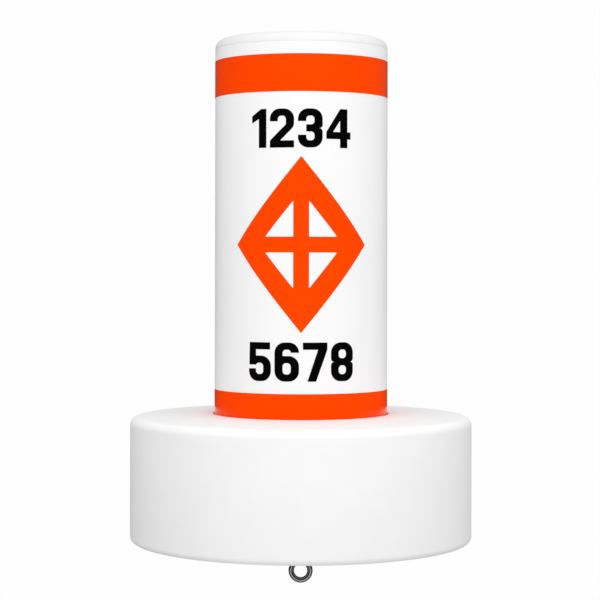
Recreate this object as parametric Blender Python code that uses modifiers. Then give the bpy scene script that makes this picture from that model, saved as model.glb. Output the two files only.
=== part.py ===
# Float collar buoy: a marker column standing in the well of a wide float collar, with ballast
# in its foot and one eyebolt that clamps collar, column and ballast together.
# Metres, +Z up. The origin is the centre of the mooring eye, and the marked side faces -Y.

import math

import bmesh
import bpy
from mathutils import Vector

# Driving dimensions
GAP = 0.0003                # left between pieces that touch, and to a film's backing
SIDES = 64                  # sides of the column, the collar and what fits in them
SMALL_SIDES = 24            # sides of the bolt, washers and plugs
OVERSHOOT = 0.002           # how far a cutter runs past the face that it cuts

EYE_DROP = 0.0416           # from the collar's underside down to the eye's centre
EYE_BAR = 0.0075            # diameter of the eye's bar
EYE_HOLE = 0.0174           # diameter of the hole in the eye
SHANK_DIAMETER = 0.008
SHANK_ROOT_DIAMETER = 0.0066
SHANK_SPARE = 0.007         # thread standing past the upper nut
SHANK_CHAMFER = 0.001
BOLT_CLEARANCE = 0.0005     # round the shank, in every hole that it passes through

COLUMN_DIAMETER = 0.2286
COLUMN_WALL = 0.004
TOP_HEIGHT = 0.6624         # top of the cap above the collar's underside
CAP_HEIGHT = 0.0129         # the part of the cap that shows above its seam
CAP_EDGE_RADIUS = 0.0122
CAP_WALL = 0.004
SPIGOT_DEPTH = 0.025        # how far the cap goes down inside the column
SPIGOT_WALL = 0.0035
FOOT_DISC_THICKNESS = 0.010

COLLAR_DIAMETER = 0.452
COLLAR_RIM_HEIGHT = 0.1645  # height of the collar's top at its rounded outer edge
COLLAR_CROWN = 0.0035       # how much higher its top is beside the column
COLLAR_TOP_RADIUS = 0.0115
COLLAR_FOOT_RADIUS = 0.008
COLLAR_WALL = 0.006
WELL_CLEARANCE = 0.0017     # between the column and the wall of the collar's well
WELL_LIP_RADIUS = 0.003
WELL_FLOOR = 0.008          # two skins of the moulding, fused
RECESS_DIAMETER = 0.044     # sunk seat of the lower washer, in the middle of the underside
RECESS_DEPTH = 0.0025

PORT_DIAMETER = 0.028       # filling holes in the collar's underside
PORT_SEAT_DIAMETER = 0.037
PORT_SEAT_DEPTH = 0.0028
PLUG_SLOT_LENGTH = 0.020
PLUG_SLOT_WIDTH = 0.0025
PLUG_SLOT_DEPTH = 0.0012

BALLAST_THICKNESS = 0.042
BALLAST_SIDE_CLEARANCE = 0.0006
PLATE_DIAMETER = 0.090
PLATE_THICKNESS = 0.004
FOAM_POCKET_CLEARANCE = 0.0005

WASHER_THICKNESS = 0.002
LOWER_WASHER_DIAMETER = 0.036
UPPER_WASHER_DIAMETER = 0.024
LOCK_WASHER_DIAMETER = 0.0146
LOCK_WASHER_THICKNESS = 0.002
LOCK_WASHER_SLIT = 0.0012
NUT_ACROSS_FLATS = 0.013
NUT_HEIGHT = 0.0065

FILM_THICKNESS = 0.0004
BAND_WIDTH = 0.048
UPPER_BAND_TOP = 0.633      # above the collar's underside, as are the next three
LOWER_BAND_TOP = 0.2005
DIAMOND_CENTRE = 0.3904
UPPER_ROW_FOOT = 0.5135
LOWER_ROW_FOOT = 0.2165

DIAMOND_HALF_HEIGHT = 0.1123
DIAMOND_HALF_WIDTH = 0.0909
DIAMOND_BORDER = 0.0277     # width of the border, square to its edge
DIAMOND_BAR = 0.020         # width of the bars of the cross

NUMBER_HEIGHT = 0.0495
NUMBER_WIDTH = 0.0315
NUMBER_ONE_WIDTH = 0.0205
NUMBER_FOUR_WIDTH = 0.034
NUMBER_SPACE = 0.005
STEM = 0.0105               # width of an upright stroke
BEAM = 0.009                # width of a level stroke
BOWL_RADIUS = 0.013         # outer corner of a round stroke
WAIST_RADIUS = 0.0042
WAIST_NOTCH = 0.005
WAIST_GAP = 0.001
INNER_RADIUS = 0.0043       # inner corner of a round stroke
ARM_LENGTH = 0.016          # how far an open stroke turns back down or up
ROUND_STEPS = 4             # chords in each rounded corner of a number

# Sizes that follow
COLUMN_RADIUS = COLUMN_DIAMETER / 2
BORE_RADIUS = COLUMN_RADIUS - COLUMN_WALL
COLLAR_RADIUS = COLLAR_DIAMETER / 2
WELL_RADIUS = COLUMN_RADIUS + WELL_CLEARANCE
PORT_CIRCLE_RADIUS = (WELL_RADIUS + COLLAR_RADIUS) / 2
HOLE_RADIUS = SHANK_DIAMETER / 2 + BOLT_CLEARANCE

UNDERSIDE = EYE_DROP
COLUMN_FOOT = UNDERSIDE + WELL_FLOOR + GAP
COLUMN_RIM = UNDERSIDE + TOP_HEIGHT - CAP_HEIGHT - GAP
BALLAST_FOOT = COLUMN_FOOT + FOOT_DISC_THICKNESS + GAP
PLATE_FOOT = BALLAST_FOOT + BALLAST_THICKNESS + GAP
UPPER_WASHER_FOOT = PLATE_FOOT + PLATE_THICKNESS + GAP
LOCK_WASHER_FOOT = UPPER_WASHER_FOOT + WASHER_THICKNESS + GAP
UPPER_NUT_FOOT = LOCK_WASHER_FOOT + LOCK_WASHER_THICKNESS + GAP
SHANK_TOP = UPPER_NUT_FOOT + NUT_HEIGHT + SHANK_SPARE
LOWER_WASHER_FOOT = UNDERSIDE + RECESS_DEPTH - GAP - WASHER_THICKNESS
LOWER_NUT_FOOT = LOWER_WASHER_FOOT - GAP - NUT_HEIGHT

# name: colour, roughness, metallic
FINISHES = {
    "white_column_plastic": ((0.86, 0.86, 0.86, 1.0), 0.30, 0.0),
    "white_collar_plastic": ((0.84, 0.84, 0.84, 1.0), 0.42, 0.0),
    "orange_film": ((0.98, 0.07, 0.0, 1.0), 0.28, 0.0),
    "black_film": ((0.003, 0.003, 0.003, 1.0), 0.35, 0.0),
    "polished_steel": ((0.32, 0.32, 0.33, 1.0), 0.25, 1.0),
    "zinc_steel": ((0.55, 0.56, 0.58, 1.0), 0.35, 1.0),
    "float_foam": ((0.80, 0.72, 0.50, 1.0), 0.90, 0.0),
    "ballast_concrete": ((0.35, 0.34, 0.32, 1.0), 0.90, 0.0),
    "grey_plug_plastic": ((0.55, 0.55, 0.55, 1.0), 0.45, 0.0),
}


def clear_scene():
    for old in list(bpy.data.objects):
        bpy.data.objects.remove(old, do_unlink=True)


def new_collection(name):
    collection = bpy.data.collections.new(name)
    bpy.context.scene.collection.children.link(collection)
    return collection


def finish(name):
    """The material of that name, made on first use."""
    if name in bpy.data.materials:
        return bpy.data.materials[name]
    colour, roughness, metallic = FINISHES[name]
    material = bpy.data.materials.new(name)
    material.use_nodes = True
    shader = material.node_tree.nodes["Principled BSDF"]
    shader.inputs["Base Color"].default_value = colour
    shader.inputs["Roughness"].default_value = roughness
    shader.inputs["Metallic"].default_value = metallic
    return material


def arc(centre, radius, start, end, steps):
    """Points (x, z) on an arc, its angles in degrees from +X."""
    turn = math.radians(end - start) / steps
    angles = [math.radians(start) + turn * i for i in range(steps + 1)]
    return [(centre[0] + radius * math.cos(a), centre[1] + radius * math.sin(a)) for a in angles]


def shade(thing):
    thing.data.shade_smooth()
    thing.data.set_sharp_from_angle(angle=math.radians(32))


def turned(name, loops, sides, collection, material=None):
    """A body turned about Z. Each loop of (x, z) points runs down its outer side, a hollow's up it.

    A loop that starts on the axis ends there too and is left open.
    """
    mesh = bpy.data.meshes.new(name)
    points, edges = [], []
    for loop in loops:
        first = len(points)
        points += [(x, 0.0, z) for x, z in loop]
        edges += [(first + i, first + i + 1) for i in range(len(loop) - 1)]
        if loop[0][0] > 0:
            edges.append((len(points) - 1, first))
    mesh.from_pydata(points, edges, [])
    thing = bpy.data.objects.new(name, mesh)
    collection.objects.link(thing)
    screw = thing.modifiers.new("turn", "SCREW")
    screw.steps = screw.render_steps = sides
    screw.use_merge_vertices = True
    screw.merge_threshold = 0.00001
    if material:
        mesh.materials.append(finish(material))
    return thing


def settled(thing):
    """The object with its modifiers made into its mesh."""
    evaluated = thing.evaluated_get(bpy.context.evaluated_depsgraph_get())
    mesh = bpy.data.meshes.new_from_object(evaluated)
    thing.modifiers.clear()
    thing.data = mesh
    return thing


def hide_cutter(thing):
    thing.hide_render = True
    thing.display_type = "WIRE"
    return thing


def cylinder(name, radius, low, high, sides, collection, centre=(0.0, 0.0)):
    """A plain upright cylinder from one height to another."""
    mesh = bpy.data.meshes.new(name)
    shape = bmesh.new()
    bmesh.ops.create_cone(
        shape, cap_ends=True, segments=sides, radius1=radius, radius2=radius, depth=high - low
    )
    shape.to_mesh(mesh)
    shape.free()
    thing = bpy.data.objects.new(name, mesh)
    thing.location = (centre[0], centre[1], (low + high) / 2)
    collection.objects.link(thing)
    return thing


def box(name, size, centre, collection):
    """A plain box of that size, centred on a point."""
    mesh = bpy.data.meshes.new(name)
    shape = bmesh.new()
    bmesh.ops.create_cube(shape, size=1.0)
    bmesh.ops.scale(shape, vec=Vector(size), verts=shape.verts)
    shape.to_mesh(mesh)
    shape.free()
    thing = bpy.data.objects.new(name, mesh)
    thing.location = centre
    collection.objects.link(thing)
    return thing


def combine(thing, other, operation):
    step = thing.modifiers.new(other.name, "BOOLEAN")
    step.operation = operation
    step.object = other
    step.solver = "EXACT"


def ring_loop(inner, outer, low, high):
    """The section of a flat ring, such as a washer."""
    return [(inner, high), (outer, high), (outer, low), (inner, low)]


def column_tube(parts):
    loop = ring_loop(BORE_RADIUS, COLUMN_RADIUS, COLUMN_FOOT, COLUMN_RIM)
    shade(settled(turned("column_tube", [loop], SIDES, parts, "white_column_plastic")))


def top_cap(parts):
    """A flat cap with a rounded edge, whose spigot fits inside the column."""
    top = UNDERSIDE + TOP_HEIGHT
    seam = top - CAP_HEIGHT
    spigot = BORE_RADIUS - GAP
    spigot_foot = seam - SPIGOT_DEPTH
    hollow = spigot - SPIGOT_WALL
    edge_centre = (COLUMN_RADIUS - CAP_EDGE_RADIUS, top - CAP_EDGE_RADIUS)
    loop = [(0.0, top)] + arc(edge_centre, CAP_EDGE_RADIUS, 90, 0, 6)
    loop += [
        (COLUMN_RADIUS, seam),
        (spigot, seam),
        (spigot, spigot_foot),
        (hollow, spigot_foot),
        (hollow, top - CAP_WALL),
        (0.0, top - CAP_WALL),
    ]
    shade(settled(turned("top_cap", [loop], SIDES, parts, "white_column_plastic")))


def foot_disc(parts):
    top = COLUMN_FOOT + FOOT_DISC_THICKNESS
    loop = ring_loop(HOLE_RADIUS, BORE_RADIUS - GAP, COLUMN_FOOT, top)
    shade(settled(turned("foot_disc", [loop], SIDES, parts, "white_column_plastic")))


def collar_ring_loop(inset, steps):
    """The collar's ring without its lip and floor, every face moved inwards by inset."""
    inner = WELL_RADIUS + inset
    outer = COLLAR_RADIUS - inset
    low = UNDERSIDE + inset
    rim = UNDERSIDE + COLLAR_RIM_HEIGHT - inset
    top_radius = COLLAR_TOP_RADIUS - inset
    foot_radius = max(COLLAR_FOOT_RADIUS - inset, COLLAR_FOOT_RADIUS / 8)
    loop = [(inner, rim + COLLAR_CROWN)]
    loop += arc((outer - top_radius, rim - top_radius), top_radius, 90, 0, steps)
    loop += arc((outer - foot_radius, low + foot_radius), foot_radius, 0, -90, steps)
    loop += [(inner, low)]
    return loop


def collar_skin_loop():
    """The collar's outer skin: its ring, the rounded lip of its well, and the well's floor.

    A shallow recess under the floor seats the lower washer.
    """
    crown = UNDERSIDE + COLLAR_RIM_HEIGHT + COLLAR_CROWN
    lip_centre = (WELL_RADIUS + WELL_LIP_RADIUS, crown - WELL_LIP_RADIUS)
    loop = arc(lip_centre, WELL_LIP_RADIUS, 180, 90, 3)
    loop += collar_ring_loop(0.0, 5)[1:-1]
    loop += [
        (RECESS_DIAMETER / 2, UNDERSIDE),
        (RECESS_DIAMETER / 2, UNDERSIDE + RECESS_DEPTH),
        (HOLE_RADIUS, UNDERSIDE + RECESS_DEPTH),
        (HOLE_RADIUS, UNDERSIDE + WELL_FLOOR),
        (WELL_RADIUS, UNDERSIDE + WELL_FLOOR),
    ]
    return loop


def port_places():
    """Centres of the two filling holes, one on each side."""
    return {"fill_plug": (PORT_CIRCLE_RADIUS, 0.0), "vent_plug": (-PORT_CIRCLE_RADIUS, 0.0)}


def collar_shell(parts, cutters):
    """One hollow moulding, whose two filling holes are closed by plugs."""
    hollow = collar_ring_loop(COLLAR_WALL, 2)[::-1]
    shell = turned(
        "collar_shell", [collar_skin_loop(), hollow], SIDES, parts, "white_collar_plastic"
    )
    low = UNDERSIDE - OVERSHOOT
    for plug, centre in port_places().items():
        hole = cylinder(
            plug + "_hole", PORT_DIAMETER / 2, low, UNDERSIDE + COLLAR_WALL + OVERSHOOT,
            SMALL_SIDES, cutters, centre,
        )
        seat = cylinder(
            plug + "_seat", PORT_SEAT_DIAMETER / 2, low, UNDERSIDE + PORT_SEAT_DEPTH,
            SMALL_SIDES, cutters, centre,
        )
        combine(shell, hide_cutter(hole), "DIFFERENCE")
        combine(shell, hide_cutter(seat), "DIFFERENCE")
    shade(settled(shell))


def collar_plugs(parts, cutters):
    """Plugs that lie flush in the collar's underside, each with a slot to turn it by."""
    head = PORT_SEAT_DIAMETER / 2 - GAP
    body = PORT_DIAMETER / 2 - GAP
    shoulder = PORT_SEAT_DEPTH - GAP
    for name, centre in port_places().items():
        loop = [
            (0.0, COLLAR_WALL - GAP),
            (body, COLLAR_WALL - GAP),
            (body, shoulder),
            (head, shoulder),
            (head, 0.0),
            (0.0, 0.0),
        ]
        plug = turned(name, [loop], SMALL_SIDES, parts, "grey_plug_plastic")
        plug.location = (centre[0], centre[1], UNDERSIDE)
        slot_size = (PLUG_SLOT_LENGTH, PLUG_SLOT_WIDTH, PLUG_SLOT_DEPTH * 2)
        slot = box(name + "_slot", slot_size, (centre[0], centre[1], UNDERSIDE), cutters)
        combine(plug, hide_cutter(slot), "DIFFERENCE")
        shade(settled(plug))


def collar_foam(parts):
    """The foam poured into the collar, clear of its skin on every side."""
    loop = collar_ring_loop(COLLAR_WALL + GAP, 2)
    shade(settled(turned("collar_foam", [loop], SIDES, parts, "float_foam")))


def ballast_disc(parts):
    loop = ring_loop(
        HOLE_RADIUS, BORE_RADIUS - BALLAST_SIDE_CLEARANCE, BALLAST_FOOT,
        BALLAST_FOOT + BALLAST_THICKNESS,
    )
    shade(settled(turned("ballast_disc", [loop], SIDES, parts, "ballast_concrete")))


def column_foam(parts):
    """The foam that fills the column above its ballast, moulded round the plate and the nut."""
    side = BORE_RADIUS - GAP
    spigot_side = side - SPIGOT_WALL - GAP
    spigot_foot = UNDERSIDE + TOP_HEIGHT - CAP_HEIGHT - SPIGOT_DEPTH
    top = UNDERSIDE + TOP_HEIGHT - CAP_WALL - GAP
    low = BALLAST_FOOT + BALLAST_THICKNESS + GAP
    pocket_side = PLATE_DIAMETER / 2 + FOAM_POCKET_CLEARANCE
    plate_top = PLATE_FOOT + PLATE_THICKNESS + GAP
    washer_side = UPPER_WASHER_DIAMETER / 2 + FOAM_POCKET_CLEARANCE
    pocket_top = SHANK_TOP + FOAM_POCKET_CLEARANCE
    loop = [
        (0.0, top),
        (spigot_side, top),
        (spigot_side, spigot_foot - GAP),
        (side, spigot_foot - GAP),
        (side, low),
        (pocket_side, low),
        (pocket_side, plate_top),
        (washer_side, plate_top),
        (washer_side, pocket_top),
        (0.0, pocket_top),
    ]
    shade(settled(turned("column_foam", [loop], SIDES, parts, "float_foam")))


def flat_ring(name, diameter, foot, thickness, sides, material, parts):
    loop = ring_loop(HOLE_RADIUS, diameter / 2, foot, foot + thickness)
    return turned(name, [loop], sides, parts, material)


def clamp_washers(parts, cutters):
    plate = flat_ring(
        "ballast_plate", PLATE_DIAMETER, PLATE_FOOT, PLATE_THICKNESS, SIDES, "zinc_steel", parts
    )
    upper = flat_ring(
        "upper_washer", UPPER_WASHER_DIAMETER, UPPER_WASHER_FOOT, WASHER_THICKNESS,
        SMALL_SIDES, "zinc_steel", parts,
    )
    lower = flat_ring(
        "lower_washer", LOWER_WASHER_DIAMETER, LOWER_WASHER_FOOT, WASHER_THICKNESS,
        SMALL_SIDES, "polished_steel", parts,
    )
    lock = flat_ring(
        "lock_washer", LOCK_WASHER_DIAMETER, LOCK_WASHER_FOOT, LOCK_WASHER_THICKNESS,
        SMALL_SIDES, "zinc_steel", parts,
    )
    slit_size = (LOCK_WASHER_DIAMETER, LOCK_WASHER_SLIT, LOCK_WASHER_THICKNESS * 2)
    slit_centre = (LOCK_WASHER_DIAMETER / 2, 0.0, LOCK_WASHER_FOOT + LOCK_WASHER_THICKNESS / 2)
    slit = box("lock_washer_slit", slit_size, slit_centre, cutters)
    combine(lock, hide_cutter(slit), "DIFFERENCE")
    for ring in (plate, upper, lower, lock):
        shade(settled(ring))


def hex_nut(name, foot, material, parts, cutters):
    """A plain hexagon nut, its flats facing the front and the back."""
    corner_radius = NUT_ACROSS_FLATS / math.sqrt(3)
    nut = cylinder(name, corner_radius, foot, foot + NUT_HEIGHT, 6, parts)
    bore = cylinder(
        name + "_bore", HOLE_RADIUS, foot - OVERSHOOT, foot + NUT_HEIGHT + OVERSHOOT,
        SMALL_SIDES, cutters,
    )
    nut.rotation_euler.z = math.radians(90)
    nut.data.materials.append(finish(material))
    combine(nut, hide_cutter(bore), "DIFFERENCE")
    shade(settled(nut))


def mooring_eye(parts, cutters):
    """An eyebolt: a ring that faces the front, and a shank up through everything that it clamps."""
    middle_radius = (EYE_HOLE + EYE_BAR) / 2
    shank_radius = SHANK_DIAMETER / 2
    bar_section = arc((middle_radius, 0.0), EYE_BAR / 2, 90, -270, 14)[:-1]
    eye = turned("mooring_eye", [bar_section], 40, parts, "polished_steel")
    eye.rotation_euler.x = math.radians(90)
    shank = turned(
        "shank",
        [[
            (0.0, SHANK_TOP),
            (shank_radius - SHANK_CHAMFER, SHANK_TOP),
            (shank_radius, SHANK_TOP - SHANK_CHAMFER),
            (shank_radius, middle_radius + EYE_BAR),
            (SHANK_ROOT_DIAMETER / 2, middle_radius),
            (0.0, middle_radius),
        ]],
        SMALL_SIDES,
        cutters,
    )
    combine(eye, hide_cutter(shank), "UNION")
    shade(settled(eye))


def bent_film(name, outlines, height, material, parts):
    """A film cut to flat outlines, bent round the front of the column at that height.

    The first outline is the edge and the others are windows in it. Their x is a length along
    the column's surface.
    """
    curve = bpy.data.curves.new(name + "_outline", "CURVE")
    curve.dimensions = "2D"
    curve.fill_mode = "BOTH"
    curve.extrude = FILM_THICKNESS / 2
    for outline in outlines:
        spline = curve.splines.new("POLY")
        spline.points.add(len(outline) - 1)
        for point, (x, y) in zip(spline.points, outline):
            point.co = (x, y, 0.0, 1.0)
        spline.use_cyclic_u = True
    flat = bpy.data.objects.new(name + "_flat", curve)
    parts.objects.link(flat)
    evaluated = flat.evaluated_get(bpy.context.evaluated_depsgraph_get())
    mesh = bpy.data.meshes.new_from_object(evaluated)
    bpy.data.objects.remove(flat, do_unlink=True)
    mesh.name = name

    shape = bmesh.new()
    shape.from_mesh(mesh)
    bmesh.ops.remove_doubles(shape, verts=shape.verts, dist=0.000001)
    facet = math.tau / SIDES
    reach = max(abs(v.co.x) for v in shape.verts) / COLUMN_RADIUS
    folds = range(-int(reach / facet), int(reach / facet) + 1)
    for fold in folds:
        everything = shape.verts[:] + shape.edges[:] + shape.faces[:]
        place = Vector((fold * facet * COLUMN_RADIUS, 0.0, 0.0))
        bmesh.ops.bisect_plane(
            shape, geom=everything, dist=0.000001, plane_co=place, plane_no=(1.0, 0.0, 0.0)
        )
    for vertex in shape.verts:
        angle = vertex.co.x / COLUMN_RADIUS
        radius = COLUMN_RADIUS + GAP + FILM_THICKNESS / 2 + vertex.co.z
        vertex.co = (
            radius * math.sin(angle), -radius * math.cos(angle), height + vertex.co.y
        )
    bmesh.ops.recalc_face_normals(shape, faces=shape.faces)
    shape.to_mesh(mesh)
    shape.free()
    mesh.materials.clear()
    mesh.materials.append(finish(material))
    film = bpy.data.objects.new(name, mesh)
    parts.objects.link(film)
    shade(film)


def bands(parts):
    """Two films wrapped right round the column, the lower one running down into the well."""
    inner = COLUMN_RADIUS + GAP
    for name, top in (("upper_band", UPPER_BAND_TOP), ("lower_band", LOWER_BAND_TOP)):
        high = UNDERSIDE + top
        loop = ring_loop(inner, inner + FILM_THICKNESS, high - BAND_WIDTH, high)
        shade(settled(turned(name, [loop], SIDES, parts, "orange_film")))


def diamond_mark(parts):
    """An upright diamond with a cross inside, which leaves four three-cornered windows."""
    slope = DIAMOND_HALF_HEIGHT / DIAMOND_HALF_WIDTH
    inner_height = DIAMOND_HALF_HEIGHT - DIAMOND_BORDER * math.sqrt(1 + slope * slope)
    half_bar = DIAMOND_BAR / 2
    window_height = inner_height - half_bar * slope
    window_width = (inner_height - half_bar) / slope
    edge = [
        (0.0, DIAMOND_HALF_HEIGHT),
        (DIAMOND_HALF_WIDTH, 0.0),
        (0.0, -DIAMOND_HALF_HEIGHT),
        (-DIAMOND_HALF_WIDTH, 0.0),
    ]
    windows = []
    for side in (-1, 1):
        for up in (-1, 1):
            windows.append([
                (side * half_bar, up * half_bar),
                (side * half_bar, up * window_height),
                (side * window_width, up * half_bar),
            ])
    bent_film(
        "diamond_mark", [edge] + windows, UNDERSIDE + DIAMOND_CENTRE, "orange_film", parts
    )


def rounded(corners):
    """An outline from corners (x, y, radius), a radius of 0 leaving the corner sharp."""
    outline = []
    for i, (x, y, radius) in enumerate(corners):
        corner = Vector((x, y))
        if radius == 0:
            outline.append((x, y))
            continue
        back = (Vector(corners[i - 1][:2]) - corner).normalized()
        ahead = (Vector(corners[(i + 1) % len(corners)][:2]) - corner).normalized()
        half = back.angle(ahead) / 2
        reach = radius / math.tan(half)
        centre = corner + (back + ahead).normalized() * (radius / math.sin(half))
        start = corner + back * reach - centre
        end = corner + ahead * reach - centre
        sweep = start.angle_signed(end)
        for step in range(ROUND_STEPS + 1):
            turn = -sweep * step / ROUND_STEPS
            outline.append((
                centre.x + start.x * math.cos(turn) - start.y * math.sin(turn),
                centre.y + start.x * math.sin(turn) + start.y * math.cos(turn),
            ))
    return outline


def counter(low, high, width):
    """The closed hole of a round number, between two heights."""
    r = INNER_RADIUS
    left, right = STEM, width - STEM
    return rounded([(left, low, r), (right, low, r), (right, high, r), (left, high, r)])


def number_outlines():
    """Outlines of the plain block numbers 1 to 8, with each number's width."""
    w, h, s, b = NUMBER_WIDTH, NUMBER_HEIGHT, STEM, BEAM
    big, small, arm = BOWL_RADIUS, INNER_RADIUS, ARM_LENGTH
    waist = h / 2
    over, under = waist + b / 2, waist - b / 2
    one, four = NUMBER_ONE_WIDTH, NUMBER_FOUR_WIDTH
    number_1 = rounded([
        (one - s, 0, 0), (one, 0, 0), (one, h, 0), (one - s * 0.7, h, 0),
        (0, h - b, 0), (0, h - b * 2, 0), (one - s, h - b * 1.4, 0),
    ])
    number_2 = rounded([
        (0, 0, 0), (w, 0, 0), (w, b, 0), (s * 1.3, b, 0), (w, waist + b / 4, s), (w, h, big),
        (0, h, big), (0, h - arm, 0), (s, h - arm, 0), (s, h - b, small), (w - s, h - b, small),
        (w - s, over, small), (0, b, s / 3),
    ])
    number_3 = rounded([
        (0, h - arm, 0), (s, h - arm, 0), (s, h - b, small), (w - s, h - b, small),
        (w - s, over, small), (s, over, 0), (s, under, 0), (w - s, under, small),
        (w - s, b, small), (s, b, small), (s, arm, 0), (0, arm, 0), (0, 0, big), (w, 0, big),
        (w, waist - WAIST_GAP / 2, WAIST_RADIUS), (w - WAIST_NOTCH, waist, 0),
        (w, waist + WAIST_GAP / 2, WAIST_RADIUS), (w, h, big), (0, h, big),
    ])
    bar_low, bar_high = arm * 0.7, arm * 0.7 + b
    stem_left, stem_right = four - s * 1.45, four - s * 0.45
    number_4 = rounded([
        (stem_left, 0, 0), (stem_right, 0, 0), (stem_right, bar_low, 0), (four, bar_low, 0),
        (four, bar_high, 0), (stem_right, bar_high, 0), (stem_right, h, 0), (stem_left, h, 0),
        (0, bar_high, 0), (0, bar_low, 0), (stem_left, bar_low, 0),
    ])
    window_4 = [
        (stem_left, bar_high), (stem_left, h - b * 1.6), (s * 0.85, bar_high),
    ]
    number_5 = rounded([
        (s * 0.1, h, 0), (s * 0.05, h * 0.42, 0), (s, h * 0.42, 0), (s * 1.2, over - b * 0.65, small),
        (w - s, over - b * 0.65, small), (w - s, b, small), (s, b, small), (s, arm, 0),
        (0, arm, 0), (0, 0, big), (w, 0, big), (w, over + b * 0.35, big),
        (s, over + b * 0.35, 0), (s, h - b, 0), (w - s * 0.1, h - b, 0), (w - s * 0.1, h, 0),
    ])
    number_6 = rounded([
        (w, h - arm * 0.8, 0), (w, h, big), (0, h, big), (0, 0, big), (w, 0, big),
        (w, over + b * 0.35, big), (s, over + b * 0.35, 0), (s, h - b, small),
        (w - s, h - b, small), (w - s, h - arm * 0.8, 0),
    ])
    number_7 = rounded([
        (0, h, 0), (0, h - b, 0), (w - s * 1.15, h - b, 0), (s * 0.55, 0, 0), (s * 1.6, 0, 0),
        (w, h - b, 0), (w, h, 0),
    ])
    number_8 = rounded([
        (0, 0, big), (w, 0, big), (w, waist - WAIST_GAP / 2, WAIST_RADIUS),
        (w - WAIST_NOTCH, waist, 0), (w, waist + WAIST_GAP / 2, WAIST_RADIUS), (w, h, big),
        (0, h, big), (0, waist + WAIST_GAP / 2, WAIST_RADIUS), (WAIST_NOTCH, waist, 0),
        (0, waist - WAIST_GAP / 2, WAIST_RADIUS),
    ])
    return {
        "1": (one, [number_1]),
        "2": (w, [number_2]),
        "3": (w, [number_3]),
        "4": (four, [number_4, window_4]),
        "5": (w, [number_5]),
        "6": (w, [number_6, counter(b, over - b * 0.65, w)]),
        "7": (w, [number_7]),
        "8": (w, [number_8, counter(b, under, w), counter(over, h - b, w)]),
    }


def number_rows(parts):
    """A row of plain numbers above the diamond and one below it, each centred on the front."""
    outlines = number_outlines()
    for row, foot in (("1234", UPPER_ROW_FOOT), ("5678", LOWER_ROW_FOOT)):
        length = sum(outlines[n][0] for n in row) + NUMBER_SPACE * (len(row) - 1)
        left = -length / 2
        for n in row:
            width, shapes = outlines[n]
            placed = [[(left + x, y) for x, y in shape] for shape in shapes]
            bent_film("number_" + n, placed, UNDERSIDE + foot, "black_film", parts)
            left += width + NUMBER_SPACE


def main():
    clear_scene()
    parts = new_collection("float_collar_buoy")
    cutters = new_collection("cutters")
    column_tube(parts)
    top_cap(parts)
    foot_disc(parts)
    collar_shell(parts, cutters)
    collar_plugs(parts, cutters)
    collar_foam(parts)
    ballast_disc(parts)
    column_foam(parts)
    clamp_washers(parts, cutters)
    hex_nut("upper_nut", UPPER_NUT_FOOT, "zinc_steel", parts, cutters)
    hex_nut("lower_nut", LOWER_NUT_FOOT, "polished_steel", parts, cutters)
    mooring_eye(parts, cutters)
    bands(parts)
    diamond_mark(parts)
    number_rows(parts)


main()
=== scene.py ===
import math

import bmesh
import bpy
from mathutils import Matrix, Vector


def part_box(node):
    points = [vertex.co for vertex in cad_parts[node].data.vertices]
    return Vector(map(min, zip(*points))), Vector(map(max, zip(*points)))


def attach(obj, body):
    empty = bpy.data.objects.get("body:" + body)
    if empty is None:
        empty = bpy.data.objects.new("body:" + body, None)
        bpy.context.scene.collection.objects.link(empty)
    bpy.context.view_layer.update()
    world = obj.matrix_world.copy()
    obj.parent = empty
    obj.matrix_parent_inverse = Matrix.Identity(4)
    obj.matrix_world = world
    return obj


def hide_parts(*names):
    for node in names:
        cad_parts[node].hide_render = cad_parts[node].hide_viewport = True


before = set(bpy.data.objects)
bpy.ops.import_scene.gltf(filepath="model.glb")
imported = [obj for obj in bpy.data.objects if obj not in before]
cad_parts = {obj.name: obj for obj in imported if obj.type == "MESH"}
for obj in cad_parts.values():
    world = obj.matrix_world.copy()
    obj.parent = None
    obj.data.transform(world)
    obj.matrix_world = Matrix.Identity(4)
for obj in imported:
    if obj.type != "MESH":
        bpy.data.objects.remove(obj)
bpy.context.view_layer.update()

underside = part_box("collar_shell")[0].z      # flat foot of the collar
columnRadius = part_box("column_tube")[1].x
mergeDistance = 2e-6                         # points closer than this are one
hairline = 1e-7                              # edges shorter than this are dropped
print("frame loaded, collar underside at", round(underside, 4))


# The camera stands level with the middle of the column.

cameraView = {
    "distance": 2.459,       # from the column's axis
    "eyeHeight": 0.3638,     # above the collar's underside
    "lens": 111.0,
    "shiftDown": 34.5,       # in points of a 600 point frame
    "shiftRight": 1.1,
    "frameWidth": 600,
    "roll": -0.1,            # degrees
    "sensorWidth": 36.0,
    "nearest": 0.05,
    "farthest": 60.0,
}


def makeCamera(v):
    data = bpy.data.cameras.new("buoyCamera")
    data.lens = v["lens"]
    data.sensor_width = v["sensorWidth"]
    data.shift_y = -v["shiftDown"] / v["frameWidth"]
    data.shift_x = -v["shiftRight"] / v["frameWidth"]
    data.clip_start, data.clip_end = v["nearest"], v["farthest"]
    camera = bpy.data.objects.new("buoyCamera", data)
    camera.location = (0.0, -v["distance"], underside + v["eyeHeight"])
    camera.rotation_euler = (math.radians(90), math.radians(v["roll"]), 0.0)
    bpy.context.scene.collection.objects.link(camera)
    bpy.context.scene.camera = camera


makeCamera(cameraView)
print("camera placed")


# Adds nodes to a tree and links them, for shapes and materials alike.

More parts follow.
